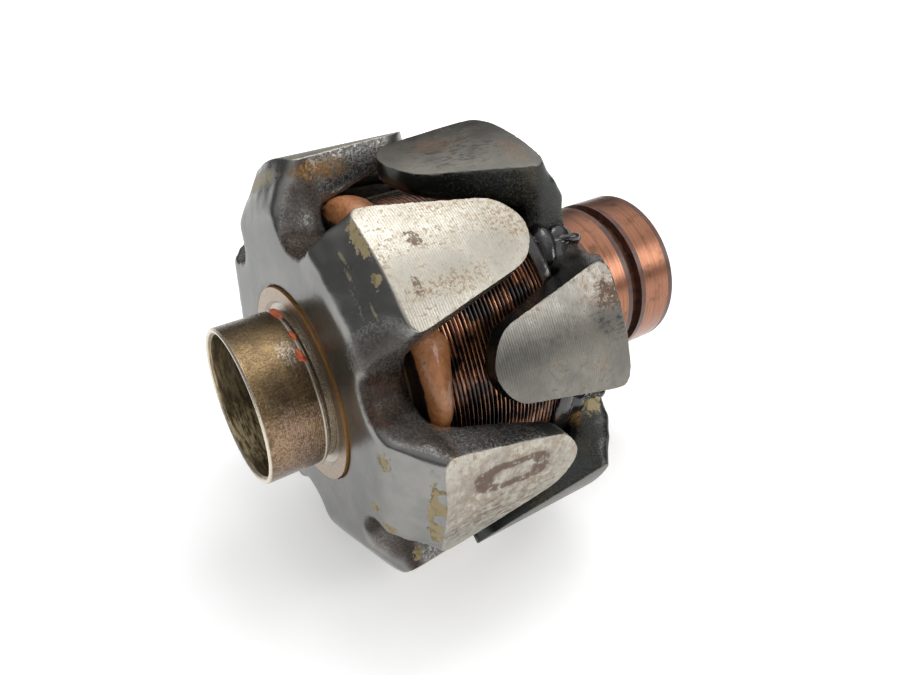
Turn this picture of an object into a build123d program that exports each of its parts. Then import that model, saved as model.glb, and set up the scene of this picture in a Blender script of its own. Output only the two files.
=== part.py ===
from build123d import *
import math
import os

# Rotor of a small claw-pole alternator, lying on its side.
# X is the rotor's axis and points at the slip rings, Z is up, and x = 0 is the plane midway
# between the two pole pieces. Millimetres throughout.

os.makedirs("parts", exist_ok=True)

# Claws, as they are turned and forged
claw_count = 6
pole_radius = 36.9
claw_phase = 9.5
claw_root_x = 17.45
claw_tip_reach = 7.1
claw_root_half_width = 10.15
claw_tip_half_width = 5.65
claw_tip_length = 3.85
tip_fullness = 0.35
claw_tip_thickness = 3.6

# Pole discs
face_x = 22.85
face_flat = 28.2
inner_face_x = 14.2
face_notch_floor = 26.0
inner_notch_floor = 24.4

# Hub with its sleeve
hub_radius = 13.2
sleeve_radius = 13.5
sleeve_mouth_x = -34.3
sleeve_back_x = -24.3
sleeve_bore_radius = 12.3
sleeve_bore_depth = 8.5
mouth_bevel = 0.6
neck_radius = 12.9
taper_mouth_radius = 11.2
taper_end_radius = 9.0
taper_length = 22.0
bolt_hole_radius = 5.3
tail_radius = 10.4
tail_inset = 1.0
tail_recess_radius = 7.6
tail_recess_depth = 5.0

# Collar ring round the back of the sleeve
collar_radius = 17.1
collar_thickness = 1.6
collar_proud = 0.35
collar_rim_radius = 14.8
collar_rim_depth = 0.5

# Field core, bobbin and winding
core_radius = 17.0
bobbin_wall = 1.1
flange_thickness = 0.9
washer_thickness = 0.5
washer_radius = 23.0
petal_wall = 0.6
petal_reach = 4.0
petal_peak = 3.3
petal_crest_share = 0.35
petal_foot_share = 0.8
winding_radius = 27.3
winding_gap = 0.15

# Slip rings on their moulded insulator
ring_radius = 15.5
ring_thickness = 1.6
ring_width = 6.1
ring_gap = 2.4
ring_lip = 1.1
end_lip = 2.1
end_bevel = 1.0
insulator_neck_radius = 12.6
insulator_end_x = 51.2
groove_floor_radius = 14.0

# Clearances between pieces, and how far a cutting shape runs past what it cuts
seat_gap = 0.05
claw_clearance = 0.95
overrun = 1.0

claw_pitch = 360 / claw_count
half_pitch = math.radians(claw_pitch / 2)
front_phase = claw_phase
rear_phase = claw_phase + claw_pitch / 2
petal_radius = winding_radius + winding_gap + petal_wall
claw_inner_radius = petal_radius + claw_clearance


def turned(points):
    """A closed outline of (x, radius) points, to be turned round the rotor's axis."""
    with BuildSketch(Plane.XY) as outline:
        with BuildLine():
            Polyline(*points, close=True)
        make_face()
    return outline.sketch


def polar(radius, degrees):
    """A point of a cross-section, from its radius and its angle from +Y towards +Z."""
    angle = math.radians(degrees)
    return (radius * math.cos(angle), radius * math.sin(angle))


def claw_half_width(x):
    """Half the width of a claw's turned face, at a distance x on its root's side of the middle."""
    narrow = -(claw_tip_reach - claw_tip_length)
    slope = (claw_root_half_width - claw_tip_half_width) / (claw_root_x - narrow)
    return min(claw_root_half_width, claw_tip_half_width + slope * (x - narrow))


def claw_outline(angle):
    """The plan of one claw, seen along its own radius: straight tapered sides and a rounded tip."""
    root_width = claw_half_width(inner_face_x)
    start = math.sqrt(claw_inner_radius**2 - root_width**2) - overrun
    foot = (0, *polar(start, angle))
    shoulder = claw_tip_length - claw_tip_reach
    tip = -claw_tip_reach
    pull = tip_fullness * (tip - shoulder)
    eased_width = claw_half_width(-claw_tip_reach + (1 - tip_fullness) * claw_tip_length)
    with BuildSketch(Plane(origin=foot, x_dir=(1, 0, 0), z_dir=foot)) as plan:
        with BuildLine():
            for hand in (1, -1):
                Line((inner_face_x, hand * root_width), (shoulder, hand * claw_tip_half_width))
                Bezier(
                    (shoulder, hand * claw_tip_half_width),
                    (shoulder + pull, hand * eased_width),
                    (tip, hand * tip_fullness * claw_tip_half_width),
                    (tip, 0),
                )
            Line((inner_face_x, root_width), (inner_face_x, -root_width))
        make_face()
    return plan.sketch


def scoop_section(x, angle, half_width, floor):
    """A cross-section of the scoop between two claws: a round floor, tangent to the claws' sides."""
    apex = half_width / math.sin(half_pitch)
    round_radius = (floor - apex) / (1 / math.sin(half_pitch) - 1)
    along = round_radius / math.tan(half_pitch)
    low = (apex + along * math.cos(half_pitch), along * math.sin(half_pitch))
    outside = pole_radius + overrun
    high = (outside, (outside - apex) * math.tan(half_pitch))
    with BuildSketch(Plane(origin=(x, 0, 0), x_dir=(0, *polar(1, angle)), z_dir=(1, 0, 0))) as section:
        with BuildLine():
            Line(high, low)
            ThreePointArc(low, (floor, 0), (low[0], -low[1]))
            Line((low[0], -low[1]), (high[0], -high[1]))
            Line((high[0], -high[1]), high)
        make_face()
    return section.sketch


def scoop_sections(angle):
    """Three stations of one scoop, whose floor falls away from the outer face to the inner one."""
    fall = (face_notch_floor - inner_notch_floor) / (face_x - inner_face_x)
    sections = []
    for x in (inner_face_x - overrun, claw_root_x, face_x + overrun):
        floor = face_notch_floor - fall * (face_x - x)
        sections.append(scoop_section(x, angle, claw_half_width(x), floor))
    return sections


def shoulder_sections(phase):
    """The pole's outer face, a polygon with a flat before each claw, and the circle it widens to."""
    corner = face_flat / math.cos(half_pitch)
    edges = [phase + claw_pitch * (k - 0.5) for k in range(claw_count)]
    with BuildSketch(Plane.YZ.offset(face_x)) as face_section:
        with BuildLine():
            Polyline(*[polar(corner, a) for a in edges], close=True)
        make_face()
    with BuildSketch(Plane.YZ.offset(claw_root_x)) as root_section:
        with BuildLine():
            for a in edges:
                ThreePointArc(
                    polar(pole_radius, a),
                    polar(pole_radius, a + claw_pitch / 2),
                    polar(pole_radius, a + claw_pitch),
                )
        make_face()
    return [root_section.sketch, face_section.sketch]


def forge_pole(phase):
    """Adds the pole piece on the slip rings' side: claws, disc, shoulders, scoops and bore."""
    angles = [phase + claw_pitch * k for k in range(claw_count)]
    for angle in angles:
        extrude(claw_outline(angle), amount=pole_radius, dir=(0, *polar(1, angle)))
    past_tip = claw_tip_reach + overrun
    shell = turned(
        [
            (inner_face_x, pole_radius),
            (-past_tip, pole_radius),
            (-past_tip, pole_radius - claw_tip_thickness),
            (inner_face_x, claw_inner_radius),
        ]
    )
    revolve(shell, axis=Axis.X, mode=Mode.INTERSECT)
    with BuildSketch(Plane.YZ.offset(inner_face_x)) as band:
        Circle(pole_radius)
    extrude(band.sketch, amount=claw_root_x - inner_face_x)
    loft(shoulder_sections(phase), ruled=True)
    for angle in angles:
        loft(scoop_sections(angle + claw_pitch / 2), ruled=True, mode=Mode.SUBTRACT)
    with BuildSketch(Plane.YZ) as bore:
        Circle(hub_radius)
    extrude(bore.sketch, amount=face_x + overrun, mode=Mode.SUBTRACT)


with BuildPart() as front_pole_piece:
    forge_pole(front_phase)
    mirror(about=Plane.YZ, mode=Mode.REPLACE)
    with BuildSketch(Plane.YZ.offset(-face_x)) as pocket:
        Circle(collar_radius + seat_gap)
    extrude(pocket.sketch, amount=collar_thickness - collar_proud, mode=Mode.SUBTRACT)
front_pole_piece.part.label = "front_pole_piece"
export_step(front_pole_piece.part, "parts/front_pole_piece.step")

with BuildPart() as rear_pole_piece:
    forge_pole(rear_phase)
rear_pole_piece.part.label = "rear_pole_piece"
export_step(rear_pole_piece.part, "parts/rear_pole_piece.step")

# The hub runs the whole length: open sleeve, tapered seat, bolt hole and the tail for the slip rings.
taper_start_x = sleeve_mouth_x + sleeve_bore_depth
taper_stop_x = taper_start_x + taper_length
tail_end_x = insulator_end_x - tail_inset
collar_seat_x = -face_x + collar_thickness - collar_proud
with BuildPart() as hub:
    revolve(
        turned(
            [
                (sleeve_mouth_x, sleeve_bore_radius + mouth_bevel),
                (sleeve_mouth_x, sleeve_radius - mouth_bevel / 2),
                (sleeve_mouth_x + mouth_bevel / 2, sleeve_radius),
                (sleeve_back_x, sleeve_radius),
                (sleeve_back_x + mouth_bevel, neck_radius),
                (collar_seat_x, neck_radius),
                (collar_seat_x, hub_radius),
                (face_x, hub_radius),
                (face_x, tail_radius),
                (tail_end_x, tail_radius),
                (tail_end_x, tail_recess_radius),
                (tail_end_x - tail_recess_depth, tail_recess_radius),
                (tail_end_x - tail_recess_depth, bolt_hole_radius),
                (taper_stop_x, bolt_hole_radius),
                (taper_stop_x, taper_end_radius),
                (taper_start_x, taper_mouth_radius),
                (taper_start_x, sleeve_bore_radius),
                (sleeve_mouth_x + mouth_bevel, sleeve_bore_radius),
            ]
        ),
        axis=Axis.X,
    )
hub.part.label = "hub"
export_step(hub.part, "parts/hub.step")

collar_front_x = -face_x - collar_proud
with BuildPart() as collar_ring:
    revolve(
        turned(
            [
                (collar_front_x, collar_rim_radius),
                (collar_front_x, collar_radius),
                (collar_seat_x, collar_radius),
                (collar_seat_x, neck_radius + seat_gap),
                (collar_front_x + collar_rim_depth, neck_radius + seat_gap),
                (collar_front_x + collar_rim_depth, collar_rim_radius - collar_rim_depth),
            ]
        ),
        axis=Axis.X,
    )
collar_ring.part.label = "collar_ring"
export_step(collar_ring.part, "parts/collar_ring.step")

with BuildPart() as pole_core:
    with BuildSketch(Plane.YZ.offset(-inner_face_x)):
        Circle(core_radius)
        Circle(hub_radius, mode=Mode.SUBTRACT)
    extrude(amount=2 * inner_face_x)
pole_core.part.label = "pole_core"
export_step(pole_core.part, "parts/pole_core.step")

# The bobbin is a tube on the core with a flange at each end, and a fibre washer behind each flange.
washer_x = inner_face_x - washer_thickness
flange_x = washer_x - flange_thickness
tube_radius = core_radius + bobbin_wall
bobbin_bore = core_radius + seat_gap

with BuildPart() as bobbin_tube:
    with BuildSketch(Plane.YZ.offset(-flange_x)):
        Circle(tube_radius)
        Circle(bobbin_bore, mode=Mode.SUBTRACT)
    extrude(amount=2 * flange_x)
bobbin_tube.part.label = "bobbin_tube"
export_step(bobbin_tube.part, "parts/bobbin_tube.step")


def mould_flange(side, phase):
    """Adds one bobbin flange, whose rim folds over the winding and rises to a peak in each scoop."""
    rim = winding_radius + winding_gap
    revolve(
        turned(
            [
                (side * washer_x, bobbin_bore),
                (side * washer_x, petal_radius),
                (side * (flange_x - petal_reach - petal_peak), petal_radius),
                (side * (flange_x - petal_reach - petal_peak), rim),
                (side * flange_x, rim),
                (side * flange_x, bobbin_bore),
            ]
        ),
        axis=Axis.X,
    )
    side_x = side * (flange_x - petal_reach)
    peak_x = side * (flange_x - petal_reach - petal_peak)
    outside_x = peak_x - side * overrun
    half_run = petal_radius * math.tan(half_pitch)
    for k in range(claw_count):
        radial = (0, *polar(1, phase + claw_pitch * k))
        with BuildSketch(Plane(origin=(0, 0, 0), x_dir=(1, 0, 0), z_dir=radial)) as gap:
            with BuildLine():
                Polyline(
                    (outside_x, half_run),
                    (peak_x, petal_foot_share * half_run),
                    (side_x, petal_crest_share * half_run),
                    (side_x, -petal_crest_share * half_run),
                    (peak_x, -petal_foot_share * half_run),
                    (outside_x, -half_run),
                    close=True,
                )
            make_face()
        extrude(gap.sketch, amount=petal_radius + overrun, dir=radial, mode=Mode.SUBTRACT)


with BuildPart() as bobbin_front_flange:
    mould_flange(-1, front_phase)
bobbin_front_flange.part.label = "bobbin_front_flange"
export_step(bobbin_front_flange.part, "parts/bobbin_front_flange.step")

with BuildPart() as bobbin_rear_flange:
    mould_flange(1, rear_phase)
bobbin_rear_flange.part.label = "bobbin_rear_flange"
export_step(bobbin_rear_flange.part, "parts/bobbin_rear_flange.step")

with BuildPart() as front_fibre_washer:
    with BuildSketch(Plane.YZ.offset(-inner_face_x)):
        Circle(washer_radius)
        Circle(bobbin_bore, mode=Mode.SUBTRACT)
    extrude(amount=washer_thickness)
front_fibre_washer.part.label = "front_fibre_washer"
export_step(front_fibre_washer.part, "parts/front_fibre_washer.step")

with BuildPart() as rear_fibre_washer:
    with BuildSketch(Plane.YZ.offset(washer_x)):
        Circle(washer_radius)
        Circle(bobbin_bore, mode=Mode.SUBTRACT)
    extrude(amount=washer_thickness)
rear_fibre_washer.part.label = "rear_fibre_washer"
export_step(rear_fibre_washer.part, "parts/rear_fibre_washer.step")

with BuildPart() as field_winding:
    with BuildSketch(Plane.YZ.offset(-flange_x)):
        Circle(winding_radius)
        Circle(tube_radius, mode=Mode.SUBTRACT)
    extrude(amount=2 * flange_x)
field_winding.part.label = "field_winding"
export_step(field_winding.part, "parts/field_winding.step")

# Slip rings, counted from the pole pieces outwards
outer_ring_end_x = insulator_end_x - end_lip
outer_ring_x = outer_ring_end_x - ring_width
inner_ring_end_x = outer_ring_x - 2 * ring_lip - ring_gap
inner_ring_x = inner_ring_end_x - ring_width
insulator_start_x = inner_ring_x - ring_lip
ring_seat = ring_radius - ring_thickness
with BuildPart() as slip_ring_insulator:
    revolve(
        turned(
            [
                (face_x, tail_radius),
                (face_x, insulator_neck_radius),
                (insulator_start_x, insulator_neck_radius),
                (insulator_start_x, ring_radius),
                (inner_ring_x, ring_radius),
                (inner_ring_x, ring_seat),
                (inner_ring_end_x, ring_seat),
                (inner_ring_end_x, ring_radius),
                (inner_ring_end_x + ring_lip, ring_radius),
                (inner_ring_end_x + ring_lip, groove_floor_radius),
                (outer_ring_x - ring_lip, groove_floor_radius),
                (outer_ring_x - ring_lip, ring_radius),
                (outer_ring_x, ring_radius),
                (outer_ring_x, ring_seat),
                (outer_ring_end_x, ring_seat),
                (outer_ring_end_x, ring_radius),
                (insulator_end_x - end_bevel, ring_radius),
                (insulator_end_x, ring_radius - end_bevel),
                (insulator_end_x, tail_radius),
            ]
        ),
        axis=Axis.X,
    )
slip_ring_insulator.part.label = "slip_ring_insulator"
export_step(slip_ring_insulator.part, "parts/slip_ring_insulator.step")

for ring_name, ring_x in (("slip_ring_inner", inner_ring_x), ("slip_ring_outer", outer_ring_x)):
    with BuildPart() as slip_ring:
        with BuildSketch(Plane.YZ.offset(ring_x)):
            Circle(ring_radius)
            Circle(ring_seat, mode=Mode.SUBTRACT)
        extrude(amount=ring_width)
    slip_ring.part.label = ring_name
    export_step(slip_ring.part, f"parts/{ring_name}.step")
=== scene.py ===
# %% [markdown]
# # Alternator rotor
# A used claw-pole rotor from a small alternator lies on its side on a white table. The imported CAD
# model gives every rigid piece its exact place. This lesson dresses it: turned steel, black varnish
# over forgings, a real copper winding, moulded petals, slip rings, and the dirt of many years.

import math

import bpy
import numpy as np
from mathutils import Matrix, Vector


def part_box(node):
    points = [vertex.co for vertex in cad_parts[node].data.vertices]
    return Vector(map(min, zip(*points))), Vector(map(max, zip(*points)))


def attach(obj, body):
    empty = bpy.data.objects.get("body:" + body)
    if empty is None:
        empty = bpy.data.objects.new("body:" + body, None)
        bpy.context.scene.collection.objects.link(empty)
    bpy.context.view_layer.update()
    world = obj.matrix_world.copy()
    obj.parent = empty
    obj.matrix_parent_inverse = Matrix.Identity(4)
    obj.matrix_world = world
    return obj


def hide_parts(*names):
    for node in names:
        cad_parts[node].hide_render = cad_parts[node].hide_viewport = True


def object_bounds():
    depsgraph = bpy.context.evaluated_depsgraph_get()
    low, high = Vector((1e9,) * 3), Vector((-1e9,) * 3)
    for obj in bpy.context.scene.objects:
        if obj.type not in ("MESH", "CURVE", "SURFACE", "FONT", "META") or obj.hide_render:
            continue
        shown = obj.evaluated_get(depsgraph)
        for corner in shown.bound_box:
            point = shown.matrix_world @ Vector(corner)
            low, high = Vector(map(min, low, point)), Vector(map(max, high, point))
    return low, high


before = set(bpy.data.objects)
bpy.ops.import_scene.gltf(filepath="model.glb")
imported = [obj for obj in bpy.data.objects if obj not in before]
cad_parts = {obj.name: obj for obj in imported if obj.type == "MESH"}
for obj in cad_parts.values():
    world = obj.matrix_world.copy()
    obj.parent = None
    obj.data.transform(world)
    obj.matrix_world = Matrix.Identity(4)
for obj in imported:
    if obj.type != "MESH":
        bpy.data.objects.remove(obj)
cad_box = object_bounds()
scene = bpy.context.scene
scene.view_settings.view_transform = "Standard"
print("nodes", sorted(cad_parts))

# %% [markdown]
# ## The rotor's own measures
# X is the rotor's axis. A place on a round piece is easiest to say as a distance along the axis, a
# radius, and an angle round it. The claws of the front pole stand at a known angle, so every stain
# and every drop is placed from that claw and keeps its place on the iron.

# %% Measures, in millimetres and degrees
CLAW_ANGLE = 9.5
CLAW_PITCH = 60.0
POLE_RADIUS = 36.9
FACE_X = 22.85
MM = 0.001


def around(along, radius, degrees):
    """A point in metres: x, and radius times the cosine and sine of an angle told from claw 0."""
    angle = np.radians(np.asarray(degrees, float) + CLAW_ANGLE)
    place = np.stack(np.broadcast_arrays(along, radius * np.cos(angle), radius * np.sin(angle)), -1)
    return place * MM


low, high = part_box("front_pole_piece")
print("front pole from", round(low.x / MM, 2), "to", round(high.x / MM, 2), "mm along the axis")

# %% [markdown]
# ## Camera
# The photograph was taken with a lens a little wider than normal, from above and in front of the
# open sleeve. The place and the three directions come from fitting the claws' corners, the sleeve
# and the slip rings, so the picture's outline can be laid over the photograph.

# %% Camera
camera_data = bpy.data.cameras.new("photo_camera")
camera_data.lens = 30.5
camera_data.sensor_width = 36.0
camera_data.clip_start = 0.01
camera = bpy.data.objects.new("photo_camera", camera_data)
scene.collection.objects.link(camera)
camera_right = Vector((0.8322, -0.55212, -0.05025)).normalized()
camera_ahead = Vector((0.4586, 0.7366, -0.4973)).normalized()
camera_up = camera_right.cross(camera_ahead).normalized()
camera_place = Vector((-0.05874, -0.10626, 0.06988))
turn = Matrix((camera_right, camera_up, -camera_ahead)).transposed().to_4x4()
camera.matrix_world = Matrix.Translation(camera_place) @ turn
scene.camera = camera
print("camera at", [round(v, 4) for v in camera.location])

# %% [markdown]
# ## Helpers for nodes
# A material is a small program of nodes. Written out one link at a time it is long and hard to
# read, so this helper adds a node and joins its inputs in one call. An input may be a number, a
# colour, or the output of an earlier node.

# %% Node helpers


class Wiring:
    """Adds nodes to one tree and joins what it is given: numbers, colours or other nodes' outputs."""

    def __init__(self, tree):
        self.tree = tree

    def give(self, socket, value):
        """Joins a socket to another node's output, or sets the number or colour on it."""
        if isinstance(value, bpy.types.NodeSocket):
            self.tree.links.new(value, socket)
        elif value is not None:
            socket.default_value = value

    def math(self, operation, *values):
        """One step of arithmetic on numbers."""
        node = self.tree.nodes.new("ShaderNodeMath")
        node.operation = operation
        for socket, value in zip(node.inputs, values):
            self.give(socket, value)
        return node.outputs[0]

    def times(self, first, second):
        """One number times another."""
        return self.math("MULTIPLY", first, second)

    def most(self, first, *others):
        """The largest of some numbers."""
        for other in others:
            first = self.math("MAXIMUM", first, other)
        return first

    def vector(self, x, y, z):
        """A vector out of three numbers."""
        node = self.tree.nodes.new("ShaderNodeCombineXYZ")
        for socket, value in zip(node.inputs, (x, y, z)):
            self.give(socket, value)
        return node.outputs[0]

    def scaled(self, vector, by):
        """A vector times another, part by part."""
        node = self.tree.nodes.new("ShaderNodeVectorMath")
        node.operation = "MULTIPLY"
        self.give(node.inputs[0], vector)
        self.give(node.inputs[1], by)
        return node.outputs[0]

    def noise(self, vector, scale, detail=3.0, roughness=0.55, distortion=0.0):
        """Cloudy noise from 0 to 1, about 0.5 in the middle."""
        node = self.tree.nodes.new("ShaderNodeTexNoise")
        values = (("Vector", vector), ("Scale", scale), ("Detail", detail))
        for name, value in values + (("Roughness", roughness), ("Distortion", distortion)):
            self.give(node.inputs[name], value)
        return node.outputs["Fac"]

    def step(self, value, start, end):
        """Rises softly from 0 at start to 1 at end; with start above end it falls."""
        node = self.tree.nodes.new("ShaderNodeMapRange")
        node.interpolation_type = "SMOOTHSTEP"
        self.give(node.inputs["Value"], value)
        self.give(node.inputs["From Min"], start)
        self.give(node.inputs["From Max"], end)
        return node.outputs["Result"]

    def mix(self, share, first, second):
        """The first colour where share is 0, the second where it is 1."""
        node = self.tree.nodes.new("ShaderNodeMix")
        node.data_type = "RGBA"
        self.give(node.inputs["Factor"], share)
        self.give(node.inputs[6], first)
        self.give(node.inputs[7], second)
        return node.outputs[2]

    def cover(self, base, mask, strength, colour):
        """A colour laid over another where a mask is 1, no more strongly than a strength."""
        return self.mix(self.times(mask, strength), base, colour)

    def blend(self, share, first, second):
        """The first number where share is 0, the second where it is 1."""
        node = self.tree.nodes.new("ShaderNodeMix")
        self.give(node.inputs["Factor"], share)
        self.give(node.inputs[2], first)
        self.give(node.inputs[3], second)
        return node.outputs[0]

    def bump(self, height, strength, distance):
        """Tilts the surface's normal by a height that is given from 0 to 1."""
        node = self.tree.nodes.new("ShaderNodeBump")
        self.give(node.inputs["Height"], height)
        self.give(node.inputs["Strength"], strength)
        self.give(node.inputs["Distance"], distance)
        return node.outputs["Normal"]

    def effect(self, group, **values):
        """Places a node group with its own values, and gives back its outputs by name."""
        node = self.tree.nodes.new("ShaderNodeGroup")
        node.node_tree = group
        for name, value in values.items():
            self.give(node.inputs[name.replace("_", " ")], value)
        return node.outputs


def start_effect(name, inputs, outputs):
    """A new node group: inputs as name: (kind, value), outputs as name: kind."""
    group = bpy.data.node_groups.new(name, "ShaderNodeTree")
    for title, (kind, value) in inputs.items():
        socket = group.interface.new_socket(title, in_out="INPUT", socket_type="NodeSocket" + kind)
        socket.default_value = value
    for title, kind in outputs.items():
        group.interface.new_socket(title, in_out="OUTPUT", socket_type="NodeSocket" + kind)
    source = group.nodes.new("NodeGroupInput")
    sink = group.nodes.new("NodeGroupOutput")
    return group, Wiring(group), source.outputs, sink.inputs


def start_material(name, **constants):
    """A new material, its wiring and its shader's inputs; constants are set on the shader itself."""
    material = bpy.data.materials.new(name)
    material.use_nodes = True
    shader = material.node_tree.nodes["Principled BSDF"]
    for title, value in constants.items():
        shader.inputs[title.replace("_", " ")].default_value = value
    return material, Wiring(material.node_tree), shader.inputs


def rgb(red, green, blue):
    """A colour as it looks on a screen, from 0 to 255, turned into the light it stands for."""
    shown = np.array((red, green, blue), float) / 255
    linear = np.where(shown <= 0.04045, shown / 12.92, ((shown + 0.055) / 1.055) ** 2.4)
    return (*[float(v) for v in linear], 1.0)


print("node helpers ready")

# %% [markdown]
# ## Where a point is on the rotor
# Paint, lathe lines and wear all follow the rotor's own shape. This group reads the object's
# coordinates and gives the distance along the axis, the radius, and how far a point lies from the
# middle line of the nearest claw. Each material then asks for a place in words a turner would use.

# %% Group: rotor place
place_group, w, given, made = start_effect(
    "Rotor Place",
    {"Claw Angle": ("Float", CLAW_ANGLE)},
    {
        "Along": "Float",
        "Reach": "Float",
        "Radius": "Float",
        "Angle": "Float",
        "Across": "Float",
        "Point": "Vector",
    },
)
texture_place = place_group.nodes.new("ShaderNodeTexCoord")
point = w.scaled(texture_place.outputs["Object"], (1000.0, 1000.0, 1000.0))
split = place_group.nodes.new("ShaderNodeSeparateXYZ")
w.give(split.inputs[0], point)
flat_y = w.times(split.outputs["Y"], split.outputs["Y"])
radius = w.math("SQRT", w.math("MULTIPLY_ADD", split.outputs["Z"], split.outputs["Z"], flat_y))
turned_angle = w.math("DEGREES", w.math("ARCTAN2", split.outputs["Z"], split.outputs["Y"]))
from_claw = w.math("SUBTRACT", turned_angle, given["Claw Angle"])
near_claw = w.math("WRAP", from_claw, CLAW_PITCH / 2, -CLAW_PITCH / 2)
w.give(made["Along"], split.outputs["X"])
w.give(made["Reach"], w.math("ABSOLUTE", split.outputs["X"]))
w.give(made["Radius"], radius)
w.give(made["Angle"], from_claw)
w.give(made["Across"], w.times(radius, w.math("SINE", w.math("RADIANS", near_claw))))
w.give(made["Point"], point)
print("place group:", len(place_group.nodes), "nodes")

# %% [markdown]
# ## Specks
# Rust, dirt and tarnish all start as small specks. A picture of specks would have to be wrapped round
# every piece, so they are grown from noise instead: what rises above an edge is a speck, and the
# cover says how low that edge lies.

# %% Group: specks
speck_group, w, given, made = start_effect(
    "Specks",
    {"Point": ("Vector", (0.0, 0.0, 0.0)), "Size": ("Float", 0.4), "Cover": ("Float", 0.3)},
    {"Mask": "Float"},
)
grain = w.noise(given["Point"], w.math("DIVIDE", 1.0, given["Size"]), detail=4.0, roughness=0.7)
edge = w.math("SUBTRACT", 0.72, w.times(given["Cover"], 0.45))
w.give(made["Mask"], w.step(grain, edge, w.math("ADD", edge, 0.08)))


def specks(w, here, size, cover):
    """The specks' mask in a material: noise above an edge that sinks as the cover grows."""
    return w.effect(speck_group, Point=here["Point"], Size=size, Cover=cover)["Mask"]


print("speck group:", len(speck_group.nodes), "nodes")

# %% [markdown]
# ## Patches
# A chip, a scuff or a stain is a ragged spot at one place on the rotor. The patch measures how far a
# point lies from its centre along the axis, round it and outwards, each as a share of its size, and
# adds noise to the edge. A high squareness makes it boxy and a slant leans it over. Its outline by
# itself is the ring that a drop leaves as it dries.

# %% Group: patch
patch_group, w, given, made = start_effect(
    "Patch",
    {
        "Centre": ("Vector", (0.0, 0.0, 0.0)),
        "Size": ("Vector", (1.0, 1.0, 1.0)),
        "Ragged": ("Float", 0.5),
        "Grain": ("Float", 1.2),
        "Squareness": ("Float", 2.0),
        "Slant": ("Float", 0.0),
    },
    {"Mask": "Float", "Soft": "Float", "Outline": "Float"},
)
here = w.effect(place_group)
middle = patch_group.nodes.new("ShaderNodeSeparateXYZ")
w.give(middle.inputs[0], given["Centre"])
size = patch_group.nodes.new("ShaderNodeSeparateXYZ")
w.give(size.inputs[0], given["Size"])
off_x = w.math("SUBTRACT", here["Along"], middle.outputs["X"])
off_along = w.math("DIVIDE", off_x, size.outputs["X"])
off_angle = w.math("WRAP", w.math("SUBTRACT", here["Angle"], middle.outputs["Y"]), 180.0, -180.0)
off_round = w.times(w.math("RADIANS", off_angle), here["Radius"])
off_round = w.math("SUBTRACT", off_round, w.times(off_x, given["Slant"]))
off_round = w.math("DIVIDE", off_round, size.outputs["Y"])
off_out = w.math("DIVIDE", w.math("SUBTRACT", here["Radius"], middle.outputs["Z"]), size.outputs["Z"])
parts = []
for part in (off_along, off_round, off_out):
    parts.append(w.math("POWER", w.math("ABSOLUTE", part), given["Squareness"]))
length = w.math("ADD", w.math("ADD", parts[0], parts[1]), parts[2])
length = w.math("POWER", length, w.math("DIVIDE", 1.0, given["Squareness"]))
rough_edge = w.noise(here["Point"], given["Grain"], detail=4.0, roughness=0.6)
rough_edge = w.times(w.math("SUBTRACT", rough_edge, 0.5), w.times(given["Ragged"], 4.0))
length = w.math("ADD", length, rough_edge)
w.give(made["Mask"], w.step(length, 1.06, 0.94))
w.give(made["Soft"], w.step(length, 1.35, 0.45))
w.give(made["Outline"], w.times(w.step(length, 0.46, 0.66), w.step(length, 1.14, 0.98)))


def spots(w, places, output="Mask", ragged=0.5, grain=1.2, square=2.0, slant=0.0):
    """The largest of many patches; a place is (along, angle, radius) and its size in millimetres."""
    masks = []
    for centre, extent in places:
        shape = {"Ragged": ragged, "Grain": grain, "Squareness": square, "Slant": slant}
        masks.append(w.effect(patch_group, Centre=centre, Size=extent, **shape)[output])
    return w.most(*masks)


print("patch group:", len(patch_group.nodes), "nodes")

# %% [markdown]
# ## Lathe lines
# A cutting tool leaves fine feed marks round a turned surface. They are a wave along the axis, one
# turn for each feed, mixed with stretched noise for the scratches, and a little noise makes them
# waver as a worn tool does.

# %% Group: lathe lines
lathe_group, w, given, made = start_effect(
    "Lathe Lines", {"Feed": ("Float", 0.42), "Waver": ("Float", 0.35)}, {"Height": "Float"}
)
here = w.effect(place_group)
stretched = w.vector(here["Along"], w.times(here["Angle"], 0.02), 0.0)
waver = w.times(w.noise(stretched, 1.6, detail=2.0), given["Waver"])
turns = w.math("DIVIDE", w.math("ADD", here["Along"], waver), given["Feed"])
groove = w.math("MULTIPLY_ADD", w.math("SINE", w.times(turns, math.tau)), 0.35, 0.5)
scratch = w.noise(w.scaled(stretched, (1.0, 3.0, 1.0)), 7.0, detail=3.0, roughness=0.7)
w.give(made["Height"], w.blend(0.45, groove, scratch))
print("effects:", [g.name for g in bpy.data.node_groups])

# %% [markdown]
# ## The claws' turned faces
# A pole piece is forged, dipped with the winding in black insulating varnish, and only then turned
# to its size. So its claws' outer faces are bare steel with lathe lines, now tarnished, washed with
# brown and specked with rust; on one front claw the brown wash is partly painted shade. Each layer
# is laid over the last one, as dirt is on the real face.

# %% Turned steel


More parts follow.
